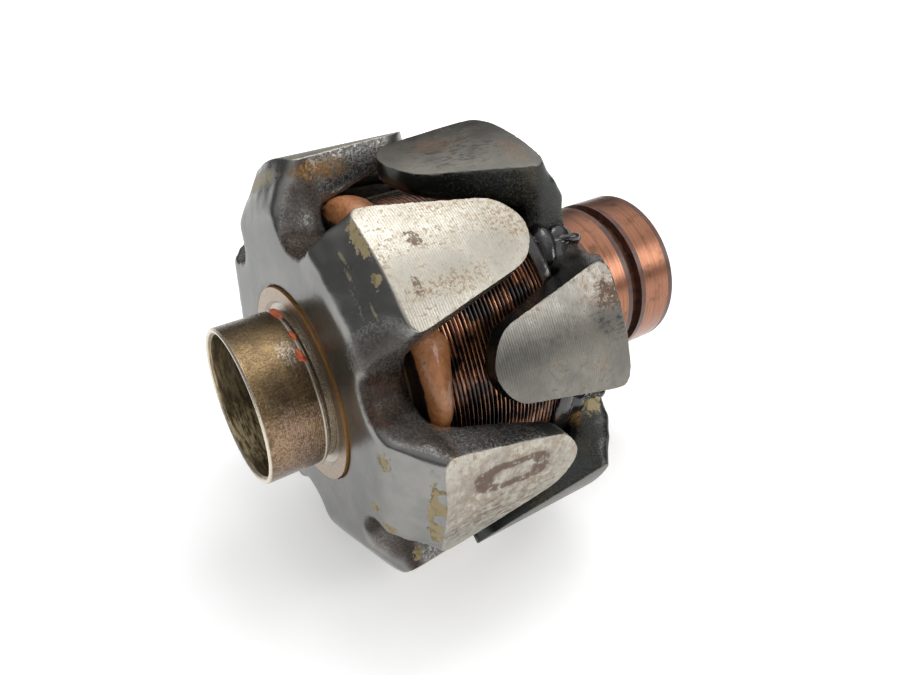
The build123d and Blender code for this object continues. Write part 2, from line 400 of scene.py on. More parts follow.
def turned_steel(w, here, noises, steels, marks):
    """Colour, roughness, metal and height: steel between two greys, then each mark laid over it."""
    cloud, fine, broken = noises
    lathe = w.effect(lathe_group)["Height"]
    steel = w.mix(w.step(cloud, 0.35, 0.68), steels["dark"], steels["light"])
    line = w.times(lathe, w.times(w.step(cloud, 0.2, 0.9), 0.5))
    steel = w.mix(line, steel, steels["lines"])
    # The brown wash: on claw 3's face it is partly brown staining and partly painted shade that darkens that
    # face.
    wash_and_shade = w.times(spots(w, marks["washes_and_shade"], "Soft", ragged=0.3), w.step(broken, 0.34, 0.6))
    steel = w.cover(steel, wash_and_shade, 0.55, rgb(116, 98, 86))
    smear = w.noise(w.scaled(here["Point"], (0.5, 2.2, 2.2)), 1.0, detail=5.0, roughness=0.75)
    smear = w.times(w.step(smear, 0.5, 0.57), spots(w, marks["smudges"], "Soft", ragged=0.5))
    steel = w.cover(steel, smear, 0.75, rgb(58, 57, 60))
    tan = w.times(specks(w, here, 0.6, steels["tan_cover"]), w.step(cloud, 0.42, 0.6))
    steel = w.cover(steel, tan, 0.5, steels["tan"])
    haze = w.times(w.step(broken, 0.45, 0.7), w.step(cloud, 0.4, 0.6))
    steel = w.cover(steel, haze, 0.3, steels["tan"])
    steel = w.cover(steel, specks(w, here, 0.45, 0.16), 0.7, rgb(80, 58, 44))
    stain = w.times(spots(w, marks["stains"], ragged=0.9, grain=1.1), w.step(fine, 0.38, 0.5))
    steel = w.cover(steel, stain, 0.7, rgb(92, 66, 46))
    boxed = spots(w, marks["boxed"], "Outline", ragged=0.12, grain=0.5, square=4.0, slant=0.13)
    boxed = w.times(boxed, w.step(broken, 0.36, 0.48))
    steel = w.cover(steel, boxed, 0.75, rgb(94, 70, 60))
    stain = w.most(stain, boxed)
    rust = w.times(spots(w, marks["rust"], "Soft", ragged=0.7), specks(w, here, 0.5, 0.5))
    steel = w.cover(steel, rust, 0.6, rgb(142, 106, 60))
    roughness = w.math("MULTIPLY_ADD", broken, 0.3, steels["roughness"])
    roughness = w.math("ADD", roughness, w.times(w.most(stain, tan), 0.15))
    metal = w.blend(w.most(tan, stain, rust), 0.92, 0.45)
    height = w.math("MULTIPLY_ADD", lathe, 0.2, w.times(broken, 0.2))
    return steel, roughness, metal, height


print("turned steel ready")

# %% [markdown]
# ## Crust in the scoops
# Oil and road dust have baked into a brown crust where nothing rubs it off: in the scoops between the
# claws and, more thinly, on the claws' flanks. A point is in a scoop when it lies further from the
# middle line of its claw than half the claw's width there, so the crust needs no painted mask.

# %% Crust
CLAW_MIDDLE_HALF = 6.36
CLAW_TAPER = 0.2175
CLAW_ROOT_HALF = 10.15


def scoop_crust(w, here, noises, amount, grimes):
    """Where crust lies, its colour and its grit: what is off the claw by more than its half width."""
    cloud, fine = noises[:2]
    half_width = w.math("MULTIPLY_ADD", here["Reach"], CLAW_TAPER, CLAW_MIDDLE_HALF)
    half_width = w.math("MINIMUM", half_width, CLAW_ROOT_HALF)
    off_claw = w.math("SUBTRACT", w.math("ABSOLUTE", here["Across"]), half_width)
    off_claw = w.step(off_claw, -0.5, 0.4)
    scoop = w.times(off_claw, w.step(here["Reach"], 22.7, 22.3))
    scoop = w.times(scoop, w.step(here["Reach"], 13.0, 15.5))
    flank = w.times(off_claw, w.step(fine, 0.4, 0.6))
    flank = w.times(flank, w.step(here["Reach"], 21.5, 20.0))
    grime = w.times(spots(w, grimes, "Soft", ragged=0.12), 0.75)
    crusted = w.times(w.most(scoop, grime, w.times(flank, 0.45)), amount)
    grit = specks(w, here, 0.5, 0.5)
    crust = w.mix(grit, rgb(40, 31, 24), rgb(84, 66, 50))
    crust = w.mix(w.step(fine, 0.5, 0.7), crust, rgb(30, 25, 22))
    reddish = w.times(w.step(cloud, 0.5, 0.62), w.step(fine, 0.42, 0.6))
    crust = w.cover(crust, reddish, 0.55, rgb(104, 58, 36))
    return crusted, crust, grit


print("crust ready")

# %% [markdown]
# ## Varnish, and how the two meet
# Everything that the lathe didn't touch keeps its dark varnish: scuffed and brushed pale on the
# shoulders, run over with amber resin, and chipped down to the primer on corners. Turned steel shows
# where the radius is the turned one and the place isn't yet on the shoulder. The rest is varnish.

# %% Pole finish
TURNED_FROM, TURNED_TO = 36.78, 36.88
SHOULDER_FROM, SHOULDER_TO = 18.6, 18.2


def varnish(w, here, noises, paints, marks):
    """Colour, roughness, metal and height: varnish, crust over it, then each place where it is worn."""
    cloud, fine, broken = noises
    coat = w.mix(w.step(cloud, 0.4, 0.65), paints["dark"], paints["light"])
    coat = w.cover(coat, w.step(broken, 0.55, 0.75), 0.35, paints["faded"])
    crusted, crust, grit = scoop_crust(w, here, noises, paints["crust"], marks["grimes"])
    coat = w.mix(crusted, coat, crust)
    scuff = w.times(spots(w, marks["scuffs"], "Soft", ragged=0.35), w.step(broken, 0.48, 0.56))
    coat = w.cover(coat, scuff, 0.8, rgb(148, 140, 100))
    amber = w.times(spots(w, marks["ambers"], "Soft", ragged=0.5), w.step(broken, 0.3, 0.5))
    amber_colour = w.mix(w.step(fine, 0.4, 0.6), rgb(112, 88, 40), rgb(150, 106, 52))
    coat = w.cover(coat, amber, 0.8, amber_colour)
    brushed = w.noise(w.scaled(here["Point"], (0.4, 0.4, 2.2)), 1.0, detail=4.0, roughness=0.7)
    pale = w.times(spots(w, marks["pales"], "Soft", ragged=0.3), w.step(brushed, 0.3, 0.5))
    coat = w.cover(coat, pale, 0.8, rgb(186, 174, 148))
    chip = spots(w, marks["chips"], ragged=0.9, grain=1.0)
    peel = spots(w, marks["peels"], ragged=0.4, grain=0.6)
    island = spots(w, marks["islands"], ragged=0.3, grain=0.8)
    chip = w.most(chip, w.times(peel, w.math("SUBTRACT", 1.0, island)))
    primer = w.mix(specks(w, here, 1.4, 0.45), rgb(172, 156, 120), rgb(134, 122, 86))
    coat = w.mix(chip, coat, primer)
    worn = w.most(chip, scuff, pale)
    roughness = w.blend(crusted, w.blend(fine, 0.2, 0.3), w.blend(grit, 0.26, 0.56))
    roughness = w.blend(worn, roughness, 0.6)
    metal = w.blend(w.most(crusted, worn, amber), 0.9, 0.25)
    lumps = w.noise(here["Point"], 0.5, detail=3.0)
    height = w.blend(crusted, w.times(lumps, 0.35), w.math("ADD", fine, grit))
    height = w.math("ADD", height, w.times(chip, -0.35))
    return coat, roughness, metal, height


def pole_finish(name, claw_angle, steels, paints, marks):
    """Steel where the radius is the turned one, short of the shoulder, and varnish elsewhere."""
    material, w, shader = start_material(name, Specular_Tint=(0.65, 0.65, 0.65, 1.0))
    here = w.effect(place_group, Claw_Angle=claw_angle)
    cloud = w.noise(here["Point"], 0.16, detail=4.0, roughness=0.6)
    fine = w.noise(here["Point"], 1.7, detail=4.0, roughness=0.65)
    broken = w.noise(here["Point"], 0.8, detail=5.0, roughness=0.7)
    noises = (cloud, fine, broken)
    turned = w.step(w.math("MULTIPLY_ADD", fine, 0.12, here["Radius"]), TURNED_FROM, TURNED_TO)
    turned = w.times(turned, w.step(here["Reach"], SHOULDER_FROM, SHOULDER_TO))
    coat, coat_roughness, coat_metal, coat_height = varnish(w, here, noises, paints, marks)
    steel, steel_roughness, steel_metal, steel_height = turned_steel(w, here, noises, steels, marks)
    w.give(shader["Base Color"], w.mix(turned, coat, steel))
    w.give(shader["Roughness"], w.blend(turned, coat_roughness, steel_roughness))
    w.give(shader["Metallic"], w.blend(turned, coat_metal, steel_metal))
    w.give(shader["Normal"], w.bump(w.blend(turned, coat_height, steel_height), 0.55, 0.00022))
    return material


print("pole finish ready")

# %% [markdown]
# ## The marks on each pole
# Each mark was found on the photograph and placed by its distance along the axis, its angle from the
# first claw of the front pole and its radius, with its half size in the same three directions. The
# sides that the photograph doesn't show have a few marks of the same kinds.

# %% Marks of the front pole


def on_face(along, degrees, length, width, depth=2.0):
    """A mark on a claw's turned face: its place at the turned radius, and its half sizes."""
    return (along, degrees, POLE_RADIUS), (length, width, depth)


front_marks = {
    "stains": [
        on_face(-10.9, 115.9, 1.1, 1.3),
        on_face(-13.6, 127.0, 0.6, 1.7),
        on_face(-4.0, 298.0, 1.6, 0.9),
        on_face(5.0, 242.0, 1.0, 1.8),
        on_face(-9.0, 357.0, 1.4, 1.2),
        on_face(0.0, 62.0, 1.0, 1.6),
    ],
    "boxed": [on_face(-5.7, 175.8, 6.5, 2.3, 3.0)],
    "rust": [
        on_face(-16.8, 120.4, 0.6, 1.6),
        on_face(4.0, 116.5, 5.0, 4.6),
        on_face(-9.0, 128.0, 7.0, 1.6),
        on_face(-4.0, 109.5, 7.0, 1.6),
        on_face(-2.0, 238.0, 7.0, 3.0),
        on_face(-6.0, 304.0, 6.0, 3.0),
        on_face(2.0, 4.0, 7.0, 4.0),
    ],
    "smudges": [on_face(-8.0, 187.5, 11.0, 3.6, 3.0), on_face(-14.0, 250.0, 5.0, 8.0, 3.0)],
    "scuffs": [
        ((-20.1, 111.5, 33.15), (3.0, 1.7, 0.22)),
        ((-20.3, 117.0, 32.55), (3.0, 1.7, 0.22)),
        ((-20.6, 123.5, 31.9), (3.0, 2.0, 0.24)),
        ((-19.4, 128.0, 33.6), (3.0, 1.4, 0.2)),
    ],
    # The wash at 179 degrees on claw 3's face is partly painted shade.
    "washes_and_shade": [on_face(-7.0, 179.0, 15.0, 9.0, 4.0), on_face(-8.0, 300.0, 13.0, 8.0, 4.0)],
    "pales": [((-19.3, 56.5, 34.3), (3.0, 8.0, 1.7)), ((-19.6, 240.0, 34.0), (2.0, 4.0, 0.8))],
    "ambers": [
        ((-11.0, 76.0, 34.6), (6.0, 1.6, 1.8)),
        ((-13.5, 162.0, 29.8), (1.6, 2.0, 1.8)),
        ((-18.5, 101.5, 29.3), (2.2, 1.6, 1.6)),
        ((-15.2, 75.5, 34.9), (3.2, 1.4, 1.2)),
    ],
    "chips": [
        ((-22.8, 167.6, 28.6), (2.0, 1.4, 1.2)),
        ((-22.8, 192.6, 26.1), (2.0, 0.9, 0.9)),
        ((-22.3, 195.4, 30.1), (1.6, 0.9, 1.2)),
        ((-18.1, 112.0, 36.2), (1.2, 2.8, 0.9)),
        ((-18.3, 122.3, 35.8), (0.6, 0.9, 0.9)),
        ((-14.8, 223.8, 34.4), (1.0, 1.0, 1.4)),
    ],
    "grimes": [((-20.4, 136.6, 32.4), (4.2, 3.4, 6.5))],
    "peels": [((-18.9, 180.6, 35.9), (1.9, 7.4, 1.5)), ((-18.2, 112.5, 36.3), (1.0, 1.6, 0.8))],
    "islands": [((-18.2, 174.8, 36.5), (1.1, 1.1, 1.1)), ((-18.3, 182.0, 36.4), (1.2, 1.2, 1.2))],
}
front_steels = {
    "dark": rgb(168, 164, 153),
    "light": rgb(192, 188, 177),
    "lines": rgb(122, 116, 106),
    "tan": rgb(146, 120, 80),
    "tan_cover": 0.4,
    "roughness": 0.26,
}
# Painted reflection: the front pole's varnish is a lighter grey than the rear pole's same black varnish, so
# that its front face mirrors the white table brightly.
lit_front_paints = {
    "dark": rgb(129, 129, 127),
    "light": rgb(139, 138, 135),
    "faded": rgb(100, 100, 92),
    "crust": 0.94,
}
front_paint = pole_finish("front_pole_finish", CLAW_ANGLE, front_steels, lit_front_paints, front_marks)
print("front pole finish:", len(front_paint.node_tree.nodes), "nodes")

# %% Marks of the rear pole
rear_marks = {
    "stains": [on_face(15.5, 142.0, 2.0, 2.2), on_face(3.0, 88.0, 4.0, 2.5)],
    "boxed": [on_face(9.0, 262.0, 3.0, 1.2, 3.0)],
    "rust": [on_face(12.0, 158.0, 0.6, 1.0), on_face(14.0, 98.0, 2.0, 3.0)],
    "smudges": [on_face(16.0, 144.0, 4.0, 5.5, 3.0), on_face(6.0, 92.0, 9.0, 5.0, 3.0)],
    "scuffs": [((20.3, 176.0, 32.4), (3.0, 5.5, 0.5))],
    "washes_and_shade": [on_face(14.5, 141.0, 4.5, 3.5, 4.0), on_face(4.0, 330.0, 12.0, 7.0, 4.0)],
    "pales": [((19.8, 236.0, 34.2), (2.0, 4.0, 0.8))],
    "grimes": [((21.0, 60.0, 30.0), (3.0, 4.0, 3.0))],
    "ambers": [((15.8, 189.0, 27.4), (1.2, 3.0, 1.6))],
    "chips": [((19.3, 187.8, 27.2), (2.0, 1.8, 1.2)), ((17.9, 152.0, 36.3), (0.8, 1.6, 0.8))],
    "peels": [((18.4, 212.0, 36.3), (1.0, 4.0, 1.0))],
    "islands": [((18.2, 211.0, 36.6), (0.8, 0.9, 1.0))],
}
# Painted shade: the rear pole's turned steel is darker than the front pole's same steel, for the darker
# surroundings its faces mirror.
shaded_rear_steels = {
    "dark": rgb(104, 102, 97),
    "light": rgb(130, 127, 119),
    "lines": rgb(78, 75, 70),
    "tan": rgb(100, 88, 68),
    "tan_cover": 0.35,
    "roughness": 0.18,
}
rear_paints = {
    "dark": rgb(56, 59, 58),
    "light": rgb(68, 68, 61),
    "faded": rgb(70, 64, 46),
    "crust": 0.25,
}
rear_angle = CLAW_ANGLE + CLAW_PITCH / 2
rear_paint = pole_finish("rear_pole_finish", rear_angle, shaded_rear_steels, rear_paints, rear_marks)
print("rear pole finish:", len(rear_paint.node_tree.nodes), "nodes")

# %% [markdown]
# ## Steel of the sleeve and the collar
# The sleeve carried an oil seal. Heat, oil and rust have left a golden-brown patina on it, mottled
# and specked, with a polished lip, and the bore behind it is dark and streaked, with a painted
# highlight of pale gold on its lower wall. The collar is brighter, pinkish from wear, with amber
# varnish along its outer edge.

# %% Sleeve and collar
sleeve_steel, w, shader = start_material("hub_steel_finish", Metallic=1.0)
here = w.effect(place_group)
cloud = w.noise(here["Point"], 0.22, detail=4.0, roughness=0.6, distortion=0.6)
fine = w.noise(here["Point"], 2.2, detail=4.0, roughness=0.7)
lathe = w.effect(lathe_group, Feed=0.3)["Height"]
patina = w.mix(w.step(cloud, 0.38, 0.62), rgb(104, 88, 66), rgb(136, 114, 82))
patina = w.cover(patina, lathe, 0.35, rgb(80, 70, 58))
bright = w.effect(patch_group, Centre=(-26.6, 114.4, 13.5), Size=(1.7, 2.2, 3.0), Ragged=0.7)["Soft"]
silver = w.times(bright, specks(w, here, 0.32, 0.55))
patina = w.cover(patina, silver, 0.6, rgb(184, 178, 168))
patina = w.cover(patina, specks(w, here, 0.34, 0.42), 0.6, rgb(66, 46, 34))
low_rust = w.effect(patch_group, Centre=(-29.5, 178.0, 13.5), Size=(5.5, 7.5, 4.0), Ragged=0.9)["Soft"]
rusty = w.mix(specks(w, here, 0.36, 0.62), rgb(112, 82, 66), rgb(176, 150, 132))
patina = w.cover(patina, low_rust, 0.5, rusty)
# Painted highlight: the last 0.4 mm of the sleeve next to the collar is painted pale grey for the bright
# line of light at the joint.
patina = w.cover(patina, w.step(here["Along"], -25.0, -24.6), 0.7, rgb(170, 160, 146))
bore = w.step(here["Radius"], 12.75, 12.6)
ringed = w.vector(here["Along"], w.times(here["Angle"], 0.03), 0.0)
streak = w.noise(ringed, 1.9, detail=5.0, roughness=0.7)
bore_colour = w.mix(w.step(streak, 0.4, 0.66), rgb(112, 99, 80), rgb(178, 162, 126))
# Painted highlight: the bore's lower wall is painted pale gold in streaks, for the light that falls on it
# through the mouth.
lit_lower_bore = w.effect(patch_group, Centre=(-31.0, 292.0, 12.3), Size=(6.0, 5.5, 4.0), Ragged=0.5)["Soft"]
lit_lower_bore = w.times(lit_lower_bore, w.step(streak, 0.42, 0.56))
bore_colour = w.cover(bore_colour, lit_lower_bore, 0.8, rgb(232, 214, 172))
lip = w.step(here["Along"], -33.85, -34.2)
patina = w.mix(lip, patina, rgb(206, 196, 180))
w.give(shader["Base Color"], w.mix(bore, patina, bore_colour))
w.give(shader["Roughness"], w.blend(bore, w.math("MULTIPLY_ADD", fine, 0.3, 0.12), 0.4))
w.give(shader["Normal"], w.bump(w.math("ADD", fine, w.times(lathe, 0.4)), 0.6, 0.00012))

collar_steel, w, shader = start_material("collar_finish", Metallic=0.9)
here = w.effect(place_group)
fine = w.noise(here["Point"], 1.8, detail=4.0, roughness=0.7)
worn = w.mix(w.step(fine, 0.4, 0.65), rgb(140, 122, 104), rgb(164, 148, 128))
rim = w.step(w.math("MULTIPLY_ADD", fine, 0.5, here["Radius"]), 17.15, 17.4)
inner = w.step(here["Radius"], 14.9, 14.6)
worn = w.mix(inner, worn, rgb(178, 170, 156))
worn = w.cover(worn, rim, 0.85, rgb(196, 142, 72))
w.give(shader["Base Color"], w.cover(worn, specks(w, here, 0.7, 0.25), 0.5, rgb(72, 52, 38)))
w.give(shader["Roughness"], w.math("MULTIPLY_ADD", fine, 0.25, 0.22))
w.give(shader["Normal"], w.bump(fine, 0.3, 0.0001))
print("sleeve and collar ready")

# %% [markdown]
# ## Slip rings and their insulator
# Brushes run on the two copper rings and leave fine lines round them, bright and dull by turns, under
# a cloudy tarnish. The insulator is brown moulded phenolic with a dusty groove between the rings.

# %% Slip rings
ring_copper, w, shader = start_material("slip_ring_finish", Metallic=1.0)
here = w.effect(place_group)
round_lines = w.vector(here["Along"], w.times(here["Angle"], 0.004), 0.0)
line = w.noise(round_lines, 3.2, detail=5.0, roughness=0.75)
copper = w.mix(w.step(line, 0.3, 0.7), rgb(118, 80, 62), rgb(164, 116, 92))
tarnish = w.noise(here["Point"], 0.35, detail=3.0)
copper = w.mix(w.step(tarnish, 0.5, 0.8), copper, rgb(100, 72, 56))
w.give(shader["Base Color"], copper)
w.give(shader["Roughness"], w.math("MULTIPLY_ADD", line, 0.2, 0.2))
w.give(shader["Normal"], w.bump(line, 0.4, 0.00005))

insulator_resin, w, shader = start_material("insulator_finish", Coat_Weight=0.25, Coat_Roughness=0.25)
here = w.effect(place_group)
cloud = w.noise(here["Point"], 0.6, detail=4.0, roughness=0.6)
resin = w.mix(w.step(cloud, 0.35, 0.65), rgb(58, 30, 20), rgb(96, 52, 32))
dust = w.times(w.step(here["Radius"], 15.0, 14.2), w.step(cloud, 0.3, 0.8))
w.give(shader["Base Color"], w.cover(resin, dust, 0.3, rgb(112, 92, 74)))
w.give(shader["Roughness"], w.math("MULTIPLY_ADD", cloud, 0.3, 0.3))
w.give(shader["Normal"], w.bump(cloud, 0.3, 0.00015))
print("slip rings ready")

# %% [markdown]
# ## Enamelled wire and petals
# The winding's enamel is a clear amber coat over copper, darkened here and there by baked varnish.
# The front petals are moulded in an orange-tan resin with a glossy, lumpy dip over them, and the
# rear ones have gone black with it. One stretch of the winding is painted pale pink and made
# rougher: a painted highlight of the lamp above.

# %% Wire and petals
wire_enamel, w, shader = start_material("wire_finish", Metallic=0.95, Coat_Weight=0.5, Coat_Roughness=0.08)
here = w.effect(place_group)
cloud = w.noise(here["Point"], 0.3, detail=3.0)
fine = w.noise(w.scaled(here["Point"], (1.6, 0.12, 0.12)), 1.0, detail=2.0)
copper = w.mix(w.step(fine, 0.4, 0.62), rgb(84, 58, 46), rgb(166, 116, 84))
copper = w.mix(w.step(cloud, 0.47, 0.62), copper, rgb(40, 28, 23))
# Painted highlight: this stretch of wire lies in claw A's shadow and is painted pale pink, as if the lamp
# above shone on it.
painted_highlight_stretch = w.effect(patch_group, Centre=(-2.5, 88.0, 27.0), Size=(7.0, 7.0, 3.0), Ragged=0.3)["Soft"]
copper = w.cover(copper, painted_highlight_stretch, 0.8, rgb(214, 168, 150))
w.give(shader["Base Color"], copper)
w.give(shader["Roughness"], w.blend(painted_highlight_stretch, w.math("MULTIPLY_ADD", cloud, 0.25, 0.14), 0.55))
w.give(shader["Normal"], w.bump(cloud, 0.15, 0.0001))

petal_resin, w, shader = start_material("petal_finish", Coat_Weight=0.5, Coat_Roughness=0.14, Roughness=0.42)
here = w.effect(place_group)
cloud = w.noise(here["Point"], 0.28, detail=4.0, roughness=0.6)
fine = w.noise(here["Point"], 1.1, detail=4.0, roughness=0.6)
tan = w.mix(w.step(cloud, 0.35, 0.65), rgb(190, 128, 80), rgb(168, 102, 56))
tan = w.mix(w.step(fine, 0.55, 0.75), tan, rgb(196, 142, 92))
smear = w.noise(w.scaled(here["Point"], (1.6, 0.7, 0.7)), 0.35, detail=4.0, roughness=0.7)
tan = w.mix(w.step(smear, 0.66, 0.72), tan, rgb(44, 30, 22))
# Below a radius of about 27 mm, on the rolled rim and under it, the petal is dark brown: partly dark resin,
# partly painted shade where the rim lies under the claws.
low_dark_and_shade = w.step(w.math("MULTIPLY_ADD", smear, 2.4, here["Radius"]), 28.5, 27.9)
w.give(shader["Base Color"], w.mix(low_dark_and_shade, tan, rgb(34, 25, 20)))
w.give(shader["Normal"], w.bump(w.math("ADD", cloud, w.times(fine, 0.6)), 0.7, 0.0007))

dark_resin, w, shader = start_material(
    "dark_petal_finish", Coat_Weight=0.2, Coat_Roughness=0.04, Roughness=0.2
)
here = w.effect(place_group)
cloud = w.noise(here["Point"], 0.4, detail=4.0, roughness=0.6)
dark = w.mix(w.step(cloud, 0.5, 0.75), rgb(20, 18, 17), rgb(62, 42, 28))
w.give(shader["Base Color"], dark)
w.give(shader["Normal"], w.bump(cloud, 0.5, 0.0004))
print("wire and petals ready")

# %% [markdown]
# ## Inner pieces, black resin and sealant
# The core and the washers are hardly seen, but each still gets its own grain. The resin that holds
# the leads is black and wet-looking, and the sealant is an orange-red that has dulled a little.

# %% Steel, fibre, black resin and sealant
core_steel, w, shader = start_material("core_finish", Metallic=1.0)
here = w.effect(place_group)
grain = w.noise(here["Point"], 1.2, detail=4.0)
w.give(shader["Base Color"], w.mix(grain, rgb(110, 104, 98), rgb(150, 142, 132)))
w.give(shader["Roughness"], w.math("MULTIPLY_ADD", grain, 0.3, 0.3))

fibre, w, shader = start_material("fibre_finish")
here = w.effect(place_group)
grain = w.noise(w.scaled(here["Point"], (1.0, 4.0, 1.0)), 0.9, detail=4.0)
w.give(shader["Base Color"], w.mix(grain, rgb(96, 70, 44), rgb(140, 108, 70)))
w.give(shader["Roughness"], w.math("MULTIPLY_ADD", grain, 0.2, 0.6))

black_resin, w, shader = start_material(
    "black_resin_finish", Coat_Weight=0.2, Coat_Roughness=0.03, Roughness=0.18
)
here = w.effect(place_group)
cloud = w.noise(here["Point"], 0.8, detail=4.0)
w.give(shader["Base Color"], w.mix(w.step(cloud, 0.5, 0.8), rgb(15, 14, 14), rgb(44, 33, 24)))
w.give(shader["Normal"], w.bump(cloud, 0.4, 0.0003))

sealant, w, shader = start_material("sealant_finish", Coat_Weight=0.6, Coat_Roughness=0.1, Roughness=0.35)
here = w.effect(place_group)
cloud = w.noise(here["Point"], 1.4, detail=4.0)
w.give(shader["Base Color"], w.mix(w.step(cloud, 0.35, 0.7), rgb(222, 100, 40), rgb(184, 80, 36)))
w.give(shader["Normal"], w.bump(cloud, 0.5, 0.0003))
print("inner pieces, black resin and sealant ready")

# %% [markdown]
# ## Each finish on its node
# A CAD node comes with a plain material. Its mesh is given the finish instead, also where a new
# piece will stand for it, so that no node is left plain.

# %% Finishes on the nodes
finishes = {
    "front_pole_piece": front_paint,
    "rear_pole_piece": rear_paint,
    "hub": sleeve_steel,
    "collar_ring": collar_steel,
    "pole_core": core_steel,
    "bobbin_tube": petal_resin,
    "bobbin_front_flange": petal_resin,
    "bobbin_rear_flange": dark_resin,
    "front_fibre_washer": fibre,
    "rear_fibre_washer": fibre,
    "field_winding": wire_enamel,
    "slip_ring_insulator": insulator_resin,
    "slip_ring_inner": ring_copper,
    "slip_ring_outer": ring_copper,
}
for node_name, material in finishes.items():
    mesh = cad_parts[node_name].data
    mesh.materials.clear()
    mesh.materials.append(material)
print("finishes on", len(finishes), "nodes")

# %% [markdown]
# ## Surfaces worked out with numpy
# A new piece is a grid of points: one parameter runs along it, the other round it. The whole grid is
# worked out in one go as an array and put into a mesh. A grid always closes on itself the one way
# round. The other way it closes too, or its two ends are capped, so that no shell is left open.

# %% Grid surface helper


def surface(name, grid, material, close_u=False, cap=False, stands_for=()):
    """A mesh from a grid of points (u, v, 3), closed round v: each cell of the grid is one face."""
    count_u, count_v = grid.shape[:2]
    points = grid.reshape(-1, 3)
    rows = np.arange(count_u if close_u else count_u - 1)
    u, v = [a.ravel() for a in np.meshgrid(rows, np.arange(count_v), indexing="ij")]
    next_u, next_v = (u + 1) % count_u, (v + 1) % count_v
    corners = (u * count_v + v, u * count_v + next_v, next_u * count_v + next_v, next_u * count_v + v)
    faces = np.stack(corners, -1).tolist()
    if cap:
        faces.append(list(range(count_v))[::-1])
        faces.append(list(range((count_u - 1) * count_v, count_u * count_v)))
    mesh = bpy.data.meshes.new(name)
    mesh.from_pydata(points.tolist(), [], faces)
    mesh.validate()
    mesh.shade_smooth()
    mesh.materials.append(material)
    piece = bpy.data.objects.new(name, mesh)
    scene.collection.objects.link(piece)
    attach(piece, "root")
    if stands_for:
        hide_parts(*stands_for)
    print(name, len(points), "points", len(faces), "faces")
    return piece


def tube(path, radius, sides=12):
    """A grid round a path: at each point a circle of one radius, square to the path."""
    ahead = np.gradient(path, axis=0)
    ahead /= np.linalg.norm(ahead, axis=1, keepdims=True)
    across = np.cross(ahead, (1.0, 0.35, 0.2))
    across /= np.linalg.norm(across, axis=1, keepdims=True)
    other = np.cross(ahead, across)
    turn = np.linspace(0, math.tau, sides, endpoint=False)[None, :, None]
    ring = across[:, None] * np.cos(turn) + other[:, None] * np.sin(turn)
    return path[:, None] + ring * radius


def smooth_path(points, count):
    """A smooth line through a few points: each stretch is a cubic that leaves along its neighbours."""
    points = np.asarray(points, float)
    padded = np.vstack((2 * points[0] - points[1], points, 2 * points[-1] - points[-2]))
    t = np.linspace(0, len(points) - 1, count)
    k = np.minimum(t.astype(int), len(points) - 2)
    s = (t - k)[:, None]
    a, b, c, d = padded[k], padded[k + 1], padded[k + 2], padded[k + 3]
    square = 2 * a - 5 * b + 4 * c - d
    cube = 3 * b - a - 3 * c + d
    return 0.5 * (2 * b + (c - a) * s + square * s**2 + cube * s**3)


print("surface helpers ready")

# %% [markdown]
# ## Forged, then turned
# A pole piece is hammered to shape in a die, so its corners are soft, and only its claws' outer
# faces are cut afterwards. The same order works here. A copy of the CAD pole is left too large where
# the lathe will cut, rebuilt as an even net, and softened by moving each point towards the mean of
# its neighbours, for longest on the shoulders. Then every point outside the turned radius is brought
# back to it, which leaves a crisp edge round each face and soft shoulders everywhere else.

# %% Meshes as arrays of points
import bmesh


def points_of(mesh):
    """All points of a mesh in millimetres."""
    flat = np.empty(len(mesh.vertices) * 3, np.float32)
    mesh.vertices.foreach_get("co", flat)
    return flat.reshape(-1, 3).astype(float) / MM


def put_points(mesh, points):
    """Writes all points of a mesh back, from millimetres."""
    mesh.vertices.foreach_set("co", (points * MM).astype(np.float32).ravel())
    mesh.update()


def merged(mesh, distance):
    """Joins points that lie within a distance, in millimetres, of each other."""
    work = bmesh.new()
    work.from_mesh(mesh)
    bmesh.ops.remove_doubles(work, verts=work.verts, dist=distance * MM)
    work.to_mesh(mesh)
    work.free()


def radius_of(points):
    """How far each point lies from the rotor's axis: the root of y squared plus z squared."""
    return np.hypot(points[:, 1], points[:, 2])


def ramp(values, start, length):
    """Rises in a straight line from 0 at the start to 1 a length further on."""
    return np.clip((values - start) / length, 0, 1)


def waves(points, wavelength, seed):
    """An uneven height from -1 to 1: the mean of eight plane waves that run in all directions."""
    source = np.random.default_rng(seed)
    directions = source.normal(size=(8, 3))
    directions /= np.linalg.norm(directions, axis=1, keepdims=True)
    phases = source.uniform(0, math.tau, 8)
    return np.sin(points @ directions.T * math.tau / wavelength + phases).mean(axis=1) * 2


print("mesh helpers ready")

# %% [markdown]
# ## The blank, its softening and its turning
# Three steps follow the forge: the oversized blank, the softened forging, and the turned pole. The
# net's cells are half a millimetre, fine enough for a claw's edge and coarse enough to work on
# quickly. Near the hub the points stay where they are, because the hub's seat is machined.

# %% Forged poles
LATHE_ALLOWANCE = 2.1
SHOULDER_X = 17.3
SHOULDER_PULL = 1.35
SHOULDER_INSIDE, SHOULDER_NEAR = 33, 12.5
NET_CELL = 0.5
HUB_SEAT = 18.5
SOFTENING = 0.6
SOFTENING_ROUNDS = 24
SHOULDER_ROUNDS = 30
CREASE_DEGREES = 38


